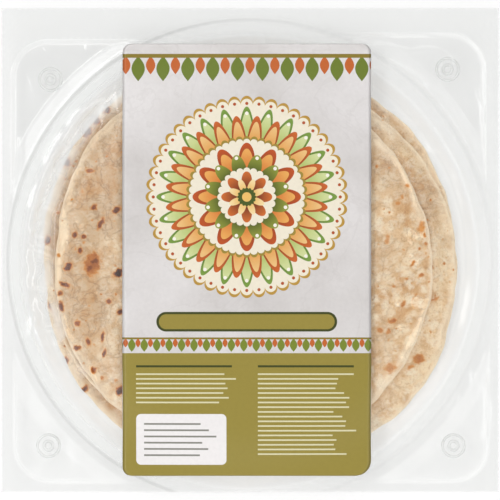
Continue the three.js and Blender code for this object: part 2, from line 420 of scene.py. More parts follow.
def spots_field(x, y, spots, spread=1.0):
    """Char from 0 to 1: soft-edged ellipses with ragged outlines, the darkest one winning at each point.
    A spread over 1 widens every spot, for the paler ring round it."""
    ragged = 0.25 * ripples(x, y, 3.1, 71) + 0.16 * ripples(x, y, 1.5, 72)
    total = np.zeros_like(x)
    for cx, cy, long, short, turn, dark in spots:
        c, s = math.cos(math.radians(turn)), math.sin(math.radians(turn))
        u = (c * (x - cx) + s * (y - cy)) / (long * spread)
        v = (c * (y - cy) - s * (x - cx)) / (short * spread)
        edge = 0.6 + 0.35 / short
        rough = ragged * (0.5 + 0.35 * short) / short
        total = np.maximum(total, dark * smooth((1 + edge / 2 - np.hypot(u, v) - rough) / edge))
    return total


def small_spots(level, count, largest=1.2, seed=300):
    """Seeded char flecks all over a bread, mostly small, as rows like those of TOP_CHAR."""
    rng = np.random.default_rng(seed + level)
    (cx, cy), radius, _ = BREADS[level - 1]
    out = radius * np.sqrt(rng.uniform(0.05, 0.98, count))
    angle = rng.uniform(0, 2 * math.pi, count)
    size = largest * (0.37 + 0.63 * rng.uniform(0, 1, count) ** 2)
    shape = rng.uniform(0.5, 1.0, count)
    turn = rng.uniform(0, 180, count)
    dark = rng.uniform(0.3, 0.6, count)
    return np.stack([cx + out * np.cos(angle), cy + out * np.sin(angle), size, size * shape, turn, dark], 1)


def blisters(x, y, level, count=110):
    """Round domes where the dough puffed, at seeded places: (1 - d^2)^2 within each radius."""
    rng = np.random.default_rng(500 + level)
    (cx, cy), radius, _ = BREADS[level - 1]
    out = radius * np.sqrt(rng.uniform(0.1, 0.95, count))
    angle = rng.uniform(0, 2 * math.pi, count)
    sizes = rng.uniform(1.6, 4.6, count)
    total = np.zeros_like(x)
    for o, a, size in zip(out, angle, sizes):
        d2 = ((x - cx - o * math.cos(a)) ** 2 + (y - cy - o * math.sin(a)) ** 2) / size ** 2
        total = np.maximum(total, np.clip(1 - d2, 0, None) ** 2)
    return total


def floury_patches(x, y, level):
    """Pale raised islands of 3 to 8 mm, in clusters: the higher parts of three added random fields."""
    field = (
        ripples(x, y, 9.0, 110 + level)
        + 0.6 * ripples(x, y, 4.2, 120 + level)
        + 0.6 * ripples(x, y, 32, 130 + level)
    )
    return np.maximum(0.8 * smooth((field - 0.1) / 0.7), smooth(blisters(x, y, level) / 0.7))


def fine_creases(x, y, level):
    """Short thin cracks along the zero lines of a random field, broken by another."""
    line = smooth(1 - 7 * np.abs(ripples(x, y, 22, 140 + level)))
    return line * smooth(2 * ripples(x, y, 15, 150 + level) - 0.3)


def rolled_lip(x, y, level):
    """A lip along the edge that comes and goes round the bread: a bell about 2 mm in from the edge. The top
    bread's lip has a few wider flaps."""
    (cx, cy), _, _ = BREADS[level - 1]
    turn = np.arctan2(y - cy, x - cx)
    come_and_go = smooth(0.6 + 0.6 * np.sin(5 * turn + 2.2 * level) + 0.4 * np.sin(11 * turn + level))
    inwards = 2.2 + 0.9 * np.sin(9 * turn + 1.3 * level)
    if level < len(BREADS):
        return come_and_go * hump(beyond_bread(level, x, y) + inwards, 1.8)
    come_and_go = np.maximum(come_and_go, 0.7 * smooth((-50 - x) / 20))
    lip = come_and_go * hump(beyond_bread(level, x, y) + inwards, 1.8)
    return np.maximum(lip, spots_field(x, y, TOP_FLAPS))


def bread_relief(x, y, level):
    """Unevenness of a bread's upper face: broad waves, floury islands, cracks, lip and dough grain, all
    level under the next bread."""
    relief = (
        0.22 * ripples(x, y, 30, 20 + level)
        + 0.10 * ripples(x, y, 12, 40 + level)
        + 0.03 * ripples(x, y, 3.2, 60 + level)
        + 0.16 * floury_patches(x, y, level)
        + 0.22 * blisters(x, y, level)
        + 0.45 * rolled_lip(x, y, level)
        - 0.14 * fine_creases(x, y, level)
    )
    if level < len(BREADS):
        relief *= smooth(beyond_bread(level + 1, x, y) / 3)
    return np.clip(relief, -0.5, 0.7)


def bread_piece(level, material):
    """One flatbread: rings out over its upper face, round its edge and back under, closed in the middle."""
    (cx, cy), _, _ = BREADS[level - 1]
    is_top, is_bottom = level == len(BREADS), level == 1
    # Steps are fine where the bread shows beside the label, and on the bottom bread also all round below
    beside_label = 52
    fine, coarse = (0.55, 0.55) if is_bottom else (0.36, 2.0)
    angle = np.radians(stretches(
        (-beside_label, beside_label, fine), (beside_label, 180 - beside_label, coarse),
        (180 - beside_label, 180 + beside_label, fine), (180 + beside_label, 360 - beside_label, coarse)))
    innermost, outermost = 8, 94
    fine_from = 52 if is_top else 78
    upper = stretches((innermost, fine_from, 11), (fine_from, outermost, 0.62))
    upper = np.append(upper, outermost) / outermost
    under = stretches((outermost, innermost, -1.2 if is_bottom else -9)) / outermost
    bend = np.radians(np.linspace(90, -90, 13))
    fullness = 0.8
    flat = bread_radius(level, angle) - BREAD_EDGE_ROUND
    reach = np.concatenate([
        upper[:, None] * flat,
        flat + BREAD_EDGE_ROUND * np.cos(bend[1:-1, None]) ** fullness,
        under[:, None] * flat,
    ])
    x = cx + reach * np.cos(angle)
    y = cy + reach * np.sin(angle)
    bottom, top = stack_heights(x, y)[level - 1]
    top = top + bread_relief(x, y, level)
    high = np.concatenate([np.ones(len(upper)), np.sin(bend[1:-1]), -np.ones(len(under))])[:, None]
    z = (top + bottom) / 2 + (top - bottom) / 2 * np.sign(high) * np.abs(high) ** fullness
    points = np.stack([x, y, z], -1).reshape(-1, 3)
    centre_bottom, centre_top = stack_heights(np.array([cx]), np.array([cy]))[level - 1]
    points = np.concatenate([[(cx, cy, centre_top[0])], points, [(cx, cy, centre_bottom[0])]])
    px, py, pz = points.T
    placed = TOP_CHAR if is_top else [spot[1:] for spot in LOWER_CHAR if spot[0] == level]
    char = spots_field(px, py, [*placed, *small_spots(level, 240)])
    if is_bottom:
        facing_down = pz < STACK_BASE + 2 * BREAD_GAP
        char = np.where(facing_down, spots_field(px, py, small_spots(level, 150, 3.2, 400)), char)
    pale_ring = spots_field(px, py, placed, 2.1)
    scorched = spots_field(px, py, placed, 1.5)
    bake = np.clip(0.55 - px / 200 + py / 170 + 0.45 * ripples(px, py, 45, 160 + level), 0, 1)
    most_puffed = 0.35 if level == len(BREADS) - 1 else 0.8
    looks = {
        "char": np.maximum(char, 0.3 * scorched),
        "bake": bake,
        "puffed": most_puffed * (1 - 0.8 * bake),
        # Pale rim and lip: partly the dough's own paler edge, partly a painted highlight where the edge
        # catches the light
        "rim": np.maximum(smooth(1 + beyond_bread(level, px, py) / 3), 0.9 * rolled_lip(px, py, level)),
        "puff": np.maximum(floury_patches(px, py, level), 0.4 * pale_ring),
        "crack": fine_creases(px, py, level),
    }
    return new_piece(
        f"flatbread_{level}", points, ring_faces(len(reach), len(angle)), material, looks)


# Film


def moat_pleats(x, y, seed):
    """Crumples of the film between stack and rim: fold lines that run mostly outwards, in about -1..1."""
    round_way = np.arctan2(y - CAVITY_Y, x) * RIM_RADIUS
    out_way = 0.45 * from_axis(x, y)
    folds = creases(round_way, out_way, 36, seed) - 0.4
    return folds + 0.5 * ripples(round_way, out_way, 19, seed + 1)


def lid_height(x, y):
    """Front film: it lies on each bread and falls from each edge at one slope, sinks into the moat round
    the stack, deepest on the left, rises to the flange at the rim, eases up under the label and dips over
    the corner pockets."""
    r = from_axis(x, y)
    round_way = np.arctan2(y - CAVITY_Y, x) * RIM_RADIUS
    leftward = smooth((30 - x) / 90)
    sink = MOAT_DEPTH * (0.3 + 0.55 * leftward) * (1 + 0.3 * ripples(round_way, 0.5 * r, 38, 13))
    moat = FLANGE_TOP - sink * (1 - smooth((r - RIM_RADIUS + MOAT_WALL_RUN) / MOAT_WALL_RUN))
    fall = BREAD_DRAPE + (LOOSE_DRAPE - BREAD_DRAPE) * leftward
    drapes = [
        upper + FILM_CLEARANCE - fall * np.maximum(beyond_bread(level, x, y), 0)
        for level, (_, upper) in enumerate(stack_heights(x, y), 1)
    ]
    height = soft_max([moat, *drapes], CREASE_ROUND)
    apart = beyond_label(x, y)
    height = height + (crown_height(r) - height) * (1 - smooth(apart / LABEL_DRAPE_RUN))
    loose = off_breads(x, y) * smooth((RIM_RADIUS - r) / 4) * smooth(apart / 3)
    slack = 0.35 + 0.65 * leftward
    height = height + loose * (0.3 + slack * moat_pleats(x, y, 11))
    taut = leftward * smooth((y + 40) / 60)
    slope = into_pocket(x, y, POCKET_SEAL_RUN + (POCKET_LID_RUN - POCKET_SEAL_RUN) * taut)
    in_pocket = smooth(slope) * (1 - taut) + slope * taut
    dip = POCKET_DIP + (POCKET_TAUT_DIP - POCKET_DIP) * taut
    height = height - in_pocket * (dip - 0.25 * ripples(x, y, 24, 32))
    height = height + smooth(apart / 3) * film_folds(x, y)
    in_flange = smooth((r - RIM_RADIUS) / 3)
    return height + in_flange * 0.12 * ripples(x, y, 48, 33)


def tray_height(x, y):
    """Back film: a flat cavity floor, a round into a sloped wall up to the rim, the flange, and pockets."""
    r = from_axis(x, y)
    flange = FLANGE_TOP - FILM_PAIR + smooth((r - RIM_RADIUS) / 3) * 0.12 * ripples(x, y, 48, 33)
    wall_foot = FLOOR_RADIUS + FLOOR_ROUND
    wall = (r - wall_foot) / (RIM_RADIUS - wall_foot)
    into_round = np.clip(r - FLOOR_RADIUS, 0, FLOOR_ROUND)
    corner = FLOOR_ROUND - np.sqrt(FLOOR_ROUND ** 2 - into_round ** 2)
    sloped = FLOOR_ROUND + (FLANGE_TOP - FILM_PAIR - FLOOR_ROUND) * np.clip(wall, 0, 2)
    cavity = FLOOR_LIFT + np.where(r < wall_foot, corner, sloped - FLOOR_LIFT)
    flutes = smooth((r - FLOOR_RADIUS) / 3) * smooth((RIM_RADIUS - r) / 3) * 0.45 * moat_pleats(x, y, 17)
    height = -soft_max([-(cavity + np.maximum(flutes, -0.3)), -flange], RIM_ROUND)
    return height - POCKET_DEPTH * smooth(into_pocket(x, y, POCKET_SEAL_RUN))


def film_piece(material):
    """Both films as one closed shell, with finer grid lines beside the label than under it, and the looks
    that change over it: where it is welded, how milky it is, with painted light in that milkiness, and how
    rough each film is."""
    half_width, half_length = PACK_WIDTH / 2, PACK_LENGTH / 2
    cut_edge, least_gap = 0.15, 0.2
    columns = np.concatenate([[-half_width], stretches(
        (-half_width + cut_edge, LABEL_LEFT + 3, 0.8), (LABEL_LEFT + 3, LABEL_RIGHT - 3, 6),
        (LABEL_RIGHT - 3, half_width - cut_edge, 0.8)), [half_width - cut_edge, half_width]])
    rows = np.concatenate([
        [-half_length], stretches((-half_length + cut_edge, half_length - cut_edge, 0.92)),
        [half_length - cut_edge, half_length]])
    x, y = np.meshgrid(columns, rows)
    upper = lid_height(x, y)
    lower = np.minimum(tray_height(x, y), upper - least_gap)
    points, faces, inner = two_sheets(x, y, upper, lower)
    r = from_axis(x, y)
    pocket = into_pocket(x, y, POCKET_SEAL_RUN)
    in_pocket = smooth(4 * pocket)
    low_end = smooth((-25 - y) / 50)
    sealed = smooth((r - SEAL_GROOVE_RADIUS) / 2.5) * (1 - in_pocket) * (1 - 0.7 * low_end)
    flat = smooth((r - RIM_RADIUS - 1) / 2) * (1 - in_pocket)
    ring = smooth((r - RIM_RADIUS) / 2.5) * smooth((SEAL_GROOVE_RADIUS - r) / 2.5)
    off_stack = off_breads(x, y)
    in_cavity = smooth((RIM_RADIUS - r) / 2)
    # A pale veil over the lower breads' edges on the left: milky crumpled film, plus a painted reflection
    # that lightens the shade under the top bread's edge
    edge_haze_and_painted_reflection = smooth(1 - np.abs(beyond_bread(2, x, y)) / 6) * smooth((-40 - x) / 30)
    edge_haze_and_painted_reflection = edge_haze_and_painted_reflection * smooth(0.7 + 0.6 * ripples(x, y, 14, 35)) * smooth((y + 85) / 40)
    leftward = smooth((20 - x) / 80)
    edge_milk_and_painted_reflection, ring_milk_and_painted_highlight, moat_milk_and_painted_fill = 0.32, 0.14, 0.16
    haze_and_painted_light = (edge_milk_and_painted_reflection * edge_haze_and_painted_reflection
            # Ring seal: milky welded film, plus a painted highlight that doubles it towards the left, where
            # the key light falls
            + ring_milk_and_painted_highlight * (1 + smooth((-20 - x) / 60)) * ring
            # Moat on the left: milky crumpled film, plus painted fill light that lifts the shade the stack
            # casts there
            + moat_milk_and_painted_fill * leftward * (1 - low_end) * off_stack * in_cavity)
    welded, clinging, sloped = 0.3, 0.42, 0.33
    clear = 0.12 + 0.33 * np.maximum(low_end, 0.5 * (1 - leftward))
    rough = clear + (welded - clear) * flat
    lid_rough = np.maximum(rough, clinging * (1 - off_stack))
    lid_rough = np.maximum(lid_rough, sloped * smooth(8 * pocket * (1 - pocket)))
    tray_rough = np.maximum(rough, clinging * smooth((RIM_RADIUS + 3 - r) / 3))
    both = {
        key: np.concatenate([on_lid.ravel(), on_tray.ravel()[inner]])
        for key, on_lid, on_tray in (
            ("sealed", sealed, sealed), ("haze_and_painted_light", haze_and_painted_light, haze_and_painted_light), ("rough", lid_rough, tray_rough))
    }
    return new_piece("film", points, faces, material, both)


def moulded_buttons(material):
    """A faint ring round a small cup in each pocket's floor. Each is a low bead with straight flanks on a
    flat back, carried round the button's centre. Their milky white is a painted highlight that stands in
    for the white rings the beads' slopes catch."""
    turn = np.linspace(0, 2 * math.pi, 48, endpoint=False)
    across = np.array([-1.0, -0.9, -0.2, 0.0, 0.2, 0.9, 1.0, 0.4, -0.4])
    swell = np.array([0.0, 0.07, 0.87, 1.0, 0.87, 0.07, 0.0, -0.02, -0.02])
    rings = ((5.6, 0.7, 0.2), (2.3, 0.8, 0.23))
    points, faces = [], []
    for *_, (cx, cy) in POCKETS.values():
        for radius, wide, tall in rings:
            reach = radius + wide * across[:, None]
            z = FLANGE_TOP - FILM_PAIR - POCKET_DEPTH + 0.1 + tall * swell[:, None]
            x, y, z = np.broadcast_arrays(cx + reach * np.cos(turn), cy + reach * np.sin(turn), z)
            here = sum(map(len, points)) + np.arange(x.size).reshape(x.shape)
            on, off = np.roll(here, -1, axis=1), np.roll(here, -1, axis=0)
            both = np.roll(on, -1, axis=0)
            faces += np.stack([here, off, both, on], -1).reshape(-1, 4).tolist()
            points.append(np.stack([x, y, z], -1).reshape(-1, 3))
    points = np.concatenate(points)
    # Painted highlight: the beads are made strongly milky so that they show as pale rings
    bead_looks_with_painted_highlight = {"haze_and_painted_light": 0.6, "sealed": 0.0, "rough": 0.1}
    looks = {key: np.full(len(points), value) for key, value in bead_looks_with_painted_highlight.items()}
    return new_piece("moulded_buttons", points, faces, material, looks)


def label_piece(material):
    """The label: a thin sheet on the crown, on a grid whose rows narrow at the rounded corners."""
    rows = np.append(stretches((LABEL_BOTTOM, LABEL_BOTTOM + 9, 0.5), (LABEL_BOTTOM + 9, LABEL_TOP - 5, 2),
                               (LABEL_TOP - 5, LABEL_TOP, 0.5)), LABEL_TOP)
    across = np.linspace(0, 1, 65)

    def inset(to_end, radius):
        """How far a round corner cuts into a side at a distance from the sheet's end."""
        d = np.clip(radius - to_end, 0, radius)
        return radius - np.sqrt(np.clip(radius ** 2 - d ** 2, 0, None))

    to_bottom, to_top = rows - LABEL_BOTTOM, LABEL_TOP - rows
    left = LABEL_LEFT + np.maximum(inset(to_bottom, LABEL_CORNER), inset(to_top, LABEL_CORNER))
    right = LABEL_RIGHT - np.maximum(inset(to_bottom, LABEL_BENT_CORNER), inset(to_top, LABEL_CORNER))
    x = left[:, None] + (right - left)[:, None] * across
    y = np.broadcast_to(rows[:, None], x.shape)
    base = crown_height(from_axis(x, y)) + LABEL_LIFT + 0.05 * (1 + ripples(x, y, 60, 91))
    points, faces, _ = two_sheets(x, y, base + LABEL_THICKNESS, base)
    return new_piece("label_print", points, faces, material)


# Materials


def clear_film_material(name, tint, least_mirror):
    """Clear nylon and polythene packing film, drawn and heat sealed: nearly all see-through, a mirror that
    grows towards grazing views, a milky veil where it crumples, and a fine knurl where it is welded. The
    milky white also holds painted light: painted highlights on the ring seal and the buttons, and a painted
    reflection and painted fill light that lighten shade at the breads' left edges and in the moat."""
    material, tree = new_material(name)
    place = add(tree, "TexCoord", out="Object")
    sealed, haze_and_painted_light, rough = (
        add(tree, "Attribute", attribute_name=key, out="Fac") for key in ("sealed", "haze_and_painted_light", "rough"))
    # The real knurl's pitch is about 1 mm, and it is drawn at 2.8 mm so that it shows.
    # A wave texture's period is pi / 10 at a scale of 1
    knurl_pitch, crinkle_size = 2.8 * MM, 6 * MM
    height = sealed
    for turn in (45, -45):
        turned = add(tree, "Mapping", {"Vector": place, "Rotation": (0, 0, math.radians(turn))})
        wave = add(tree, "TexWave", {"Vector": turned, "Scale": math.pi / 10 / knurl_pitch}, out="Fac")
        height = add(tree, "Math", [height, wave], operation="MULTIPLY")
    crinkle = add(tree, "TexNoise", {"Vector": place, "Scale": 1 / crinkle_size, "Detail": 3.0}, out="Fac")
    bumped = add(tree, "Bump", {"Strength": 0.6, "Distance": 0.3 * MM, "Height": height})
    bumped = add(tree, "Bump", {"Strength": 0.25, "Distance": 0.3 * MM, "Height": crinkle,
                                "Normal": bumped})
    facing = add(tree, "LayerWeight", {"Blend": 0.5, "Normal": bumped}, out="Facing")
    grazing = add(tree, "Math", [facing, 4.0], operation="POWER")
    mirror = add(tree, "MapRange", {"Value": grazing, "To Min": least_mirror, "To Max": 0.9})
    # Painted shade: a thin line of matt grey mixed in round the ring seal where its furrow runs, stronger
    # on the left
    spoke = add(tree, "VectorMath", [place, (0, CAVITY_Y * MM, 0)], operation="SUBTRACT")
    spoke = add(tree, "VectorMath", [spoke, (1, 1, 0)], operation="MULTIPLY")
    reach = add(tree, "VectorMath", [spoke], out="Value", operation="LENGTH")
    painted_groove_shade = add(tree, "Math", [reach, -SEAL_GROOVE_RADIUS * MM], operation="ADD")
    painted_groove_shade = add(tree, "Math", [painted_groove_shade], operation="ABSOLUTE")
    painted_groove_shade = add(tree, "MapRange", {"Value": painted_groove_shade, "From Min": 0.3 * MM, "From Max": 1.2 * MM,
                                    "To Min": 0.1, "To Max": 0.0})
    across = add(tree, "SeparateXYZ", [place], out="X")
    on_left = add(tree, "MapRange", {"Value": across, "From Min": -40 * MM, "From Max": 40 * MM,
                                     "To Min": 1.0, "To Max": 0.2})
    painted_groove_shade = add(tree, "Math", [painted_groove_shade, on_left], operation="MULTIPLY")
    clear = add(tree, "BsdfTransparent", {"Color": (*tint, 1)})
    gloss = add(tree, "BsdfAnisotropic", {"Color": (1, 1, 1, 1), "Roughness": rough, "Normal": bumped})
    sheet = add(tree, "MixShader", {0: mirror, 1: clear, 2: gloss})
    # Milky white of crumpled and welded film; where the milkiness attribute is raised for it, it is also
    # painted highlight and painted fill light
    milky = add(tree, "BsdfDiffuse", {"Color": linear("#F4F5F4")})
    cloud = add(tree, "Math", [sealed, 0.06, haze_and_painted_light], operation="MULTIPLY_ADD")
    surface = add(tree, "MixShader", {0: cloud, 1: sheet, 2: milky})
    # Matt grey for the painted shade line
    painted_shade_grey = add(tree, "BsdfDiffuse", {"Color": linear("#8E918F")})
    surface = add(tree, "MixShader", {0: painted_groove_shade, 1: surface, 2: painted_shade_grey})
    add_output(tree, surface)
    return material


def add_output(tree, surface):
    """Ends a tree in its output node."""
    out = tree.nodes.new("ShaderNodeOutputMaterial")
    tree.links.new(surface, out.inputs["Surface"])


def bread_material():
    """Wholemeal roti dough rolled thin and baked on a hot plate: matt tan, floury pale where it puffed,
    toasted in patches, with brown to black char spots and a cream rim that is partly the dough's own
    paler edge and partly a painted highlight along the edge and lip."""
    material, tree = new_material("baked_roti_dough")
    place = add(tree, "TexCoord", out="Object")
    char, bake, rim, puff, puffed, crack = (
        add(tree, "Attribute", attribute_name=key, out="Fac")
        for key in ("char", "bake", "rim", "puff", "puffed", "crack"))
    # Toasted patches, flour, bran and fine wrinkles: size in millimetres, detail, roughness, distortion
    grains = ((13, 8.0, 0.7, 0.5), (3.5, 5.0, 0.68, 0.0), (1.3, 3.0, 0.5, 0.0), (9, 4.0, 0.6, 0.6))
    toast, flour, bran, wrinkle = (
        add(tree, "TexNoise", {"Vector": place, "Scale": 1 / (size * MM), "Detail": detail,
                               "Roughness": rough, "Distortion": twist}, out="Fac")
        for size, detail, rough, twist in grains)
    toasted = add(tree, "MapRange", {"Value": toast, "From Min": 0.46, "From Max": 0.64, "To Max": 0.85})
    floured = add(tree, "MapRange", {"Value": flour, "From Min": 0.38, "From Max": 0.58})
    flecked = add(tree, "MapRange", {"Value": bran, "From Min": 0.52, "From Max": 0.70, "To Max": 0.45})
    # Wrinkle lines run along the middle value of their noise
    wrinkle = add(tree, "Math", [wrinkle, -0.5], operation="ADD")
    wrinkle = add(tree, "Math", [wrinkle], operation="ABSOLUTE")
    wrinkle = add(tree, "MapRange", {"Value": wrinkle, "From Max": 0.035, "To Min": 0.45, "To Max": 0.0})
    wrinkled = add(tree, "Math", [wrinkle, bake], operation="MULTIPLY")
    # Puffed islands: warped cells of about 6 mm, pale in the middle and toasted between
    warp_size, warp_reach, cell_size = 5 * MM, 3 * MM, 6 * MM
    warp = add(tree, "TexNoise", {"Vector": place, "Scale": 1 / warp_size, "Detail": 2.0}, out="Color")
    warped = add(tree, "VectorMath", [warp, (warp_reach, warp_reach, 0), place], operation="MULTIPLY_ADD")
    cells = add(tree, "TexVoronoi", {"Vector": warped, "Scale": 1 / cell_size, "Smoothness": 0.3},
                feature="SMOOTH_F1", voronoi_dimensions="2D")
    island = add(tree, "MapRange", {"Value": cells, "From Min": 0.18, "From Max": 0.42,
                                    "To Min": 0.75, "To Max": 0.0})
    between = add(tree, "MapRange", {"Value": cells, "From Min": 0.32, "From Max": 0.6, "To Max": 0.5})
    island = add(tree, "Math", [island, puffed], operation="MULTIPLY")
    between = add(tree, "Math", [between, puffed], operation="MULTIPLY")
    pale = add(tree, "Math", [bake, -0.5, 0.75], operation="MULTIPLY_ADD")
    pale = add(tree, "Math", [pale, puff], operation="MULTIPLY")
    pale = add(tree, "Math", [pale, floured], operation="MULTIPLY")
    # Pale rim: partly the dough's own colour, partly a painted highlight along the edge and lip
    rim_and_painted_highlight_share = add(tree, "Math", [rim, 0.85], operation="MULTIPLY")
    crack_share = add(tree, "Math", [crack, 0.35], operation="MULTIPLY")
    bake_share = add(tree, "Math", [bake, 0.55], operation="MULTIPLY")
    layers = (
        (bake_share, "#B8987A"),
        (toasted, "#CC965A"),
        (between, "#D69F63"),
        (island, "#F9E6C8"),
        (pale, "#FDEFD6"),
        (wrinkled, "#A67A50"),
        (flecked, "#CC9862"),
        (crack_share, "#A87C50"),
        (rim_and_painted_highlight_share, "#FFEACB"),
    )
    colour = linear("#F9DDB4")
    for mask, paint in layers:
        colour = add(tree, "Mix", {0: mask, 6: colour, 7: linear(paint)}, out=2, data_type="RGBA")
    burnt = tree.nodes.new("ShaderNodeValToRGB")
    stops = ((0.0, "#E3B073"), (0.28, "#D8954F"), (0.46, "#BF7538"),
             (0.6, "#97542A"), (0.78, "#6F3A1A"), (1.0, "#3C1E0E"))
    while len(burnt.color_ramp.elements) < len(stops):
        burnt.color_ramp.elements.new(0.5)
    for element, (at, paint) in zip(burnt.color_ramp.elements, stops):
        element.position, element.color = at, linear(paint)
    mottle = add(tree, "MapRange", {"Value": flour, "From Min": 0.3, "From Max": 0.7,
                                    "To Min": 0.72, "To Max": 1.12})
    mottled = add(tree, "Math", [char, mottle], operation="MULTIPLY")
    tree.links.new(mottled, burnt.inputs["Fac"])
    charred = add(tree, "MapRange", {"Value": char, "From Min": 0.04, "From Max": 0.36})
    colour = add(tree, "Mix", {0: charred, 6: colour, 7: burnt.outputs["Color"]}, out=2, data_type="RGBA")
    grain = add(tree, "Math", [flour, bran], operation="ADD")
    grain = add(tree, "Math", [wrinkle, -1.2, grain], operation="MULTIPLY_ADD")
    bumped = add(tree, "Bump", {"Strength": 0.6, "Distance": 0.8 * MM, "Height": grain})
    surface = add(tree, "BsdfPrincipled", {
        "Base Color": colour, "Roughness": 0.78, "Specular IOR Level": 0.3, "Normal": bumped})
    add_output(tree, surface)
    return material


def petal_ring(tree, radius, angle, count, base, tip, sharpness, turn=0.0):
    """Mask of a ring of petals: inside base + (tip - base) * |cos(count * angle / 2)| ^ sharpness."""
    wave = add(tree, "Math", [angle, count / 2, turn * math.pi / 2], operation="MULTIPLY_ADD")
    wave = add(tree, "Math", [wave], operation="COSINE")
    wave = add(tree, "Math", [wave], operation="ABSOLUTE")
    wave = add(tree, "Math", [wave, sharpness], operation="POWER")
    edge = add(tree, "Math", [wave, tip - base, base], operation="MULTIPLY_ADD")
    return add(tree, "Math", [radius, edge], operation="LESS_THAN")


def within_repeat(tree, value, shift, period):
    """A shifted value's place in its own repeat of a pattern, from minus to plus half the period."""
    value = add(tree, "Math", [value, shift], operation="ADD")
    value = add(tree, "Math", [value, period], operation="FLOORED_MODULO")
    return add(tree, "Math", [value, period / 2], operation="SUBTRACT")


def dot_ring(tree, radius, angle, count, reach, size, turn=0.0):
    """Mask of dots round a ring: a point's distance from the dot in the middle of its own sector."""
    sector = 2 * math.pi / count
    local = within_repeat(tree, angle, (0.5 + turn) * sector, sector)
    near = add(tree, "Math", [local], operation="COSINE")
    near = add(tree, "Math", [near, radius, -reach], operation="MULTIPLY_ADD")
    aside = add(tree, "Math", [local], operation="SINE")
    aside = add(tree, "Math", [aside, radius], operation="MULTIPLY")
    place = add(tree, "CombineXYZ", [near, aside, 0.0])
    away = add(tree, "VectorMath", [place], out="Value", operation="LENGTH")
    return add(tree, "Math", [away, size], operation="LESS_THAN")


def round_panel(tree, page, centre, size, corner):
    """Mask of a box with round corners: no further than the corner radius from a box that much smaller."""
    offset = add(tree, "VectorMath", [page, (*centre, 0)], operation="SUBTRACT")
    offset = add(tree, "VectorMath", [offset], operation="ABSOLUTE")
    core = (size[0] / 2 - corner, size[1] / 2 - corner, 0)
    offset = add(tree, "VectorMath", [offset, core], operation="SUBTRACT")
    offset = add(tree, "VectorMath", [offset, (0, 0, 0)], operation="MAXIMUM")
    away = add(tree, "VectorMath", [offset], out="Value", operation="LENGTH")
    return add(tree, "Math", [away, corner], operation="LESS_THAN")


def plain_rules(tree, along, up, left, top, width, pitch, count, weight, seed):
    """Mask of plain rules one below the other, each cut short by a seeded share of its width."""
    down = add(tree, "Math", [up, -1 / pitch, top / pitch], operation="MULTIPLY_ADD")
    number = add(tree, "Math", [down], operation="FLOOR")
    within = add(tree, "Math", [down], operation="FRACT")
    line = add(tree, "Math", [within, 0.5, weight / pitch / 2], operation="COMPARE")
    key = add(tree, "Math", [number, seed], operation="ADD")
    share = add(tree, "TexWhiteNoise", {"W": key}, noise_dimensions="1D")
    end = add(tree, "Math", [share, 0.3 * width, left + 0.7 * width], operation="MULTIPLY_ADD")
    before_end = add(tree, "Math", [along, end], operation="LESS_THAN")
    after_start = add(tree, "Math", [along, left], operation="GREATER_THAN")
    counted = add(tree, "Math", [number, (count - 1) / 2, count / 2], operation="COMPARE")
    across = add(tree, "Math", [before_end, after_start], operation="MULTIPLY")
    line = add(tree, "Math", [line, counted], operation="MULTIPLY")
    return add(tree, "Math", [line, across], operation="MULTIPLY")


def leaf_garland(tree, along, up, top, length, half_width, period, shift):
    """Mask of pointed leaves hung in a row: half width times the sine of the way down each leaf."""
    local = within_repeat(tree, along, shift, period)
    local = add(tree, "Math", [local], operation="ABSOLUTE")
    down = add(tree, "Math", [up, -1 / length, top / length], operation="MULTIPLY_ADD")
    wide = add(tree, "Math", [down, math.pi], operation="MULTIPLY")
    wide = add(tree, "Math", [wide], operation="SINE")
    wide = add(tree, "Math", [wide, half_width], operation="MULTIPLY")
    inside = add(tree, "Math", [local, wide], operation="LESS_THAN")
    hung = add(tree, "Math", [down, 0.5, 0.5], operation="COMPARE")
    return add(tree, "Math", [inside, hung], operation="MULTIPLY")


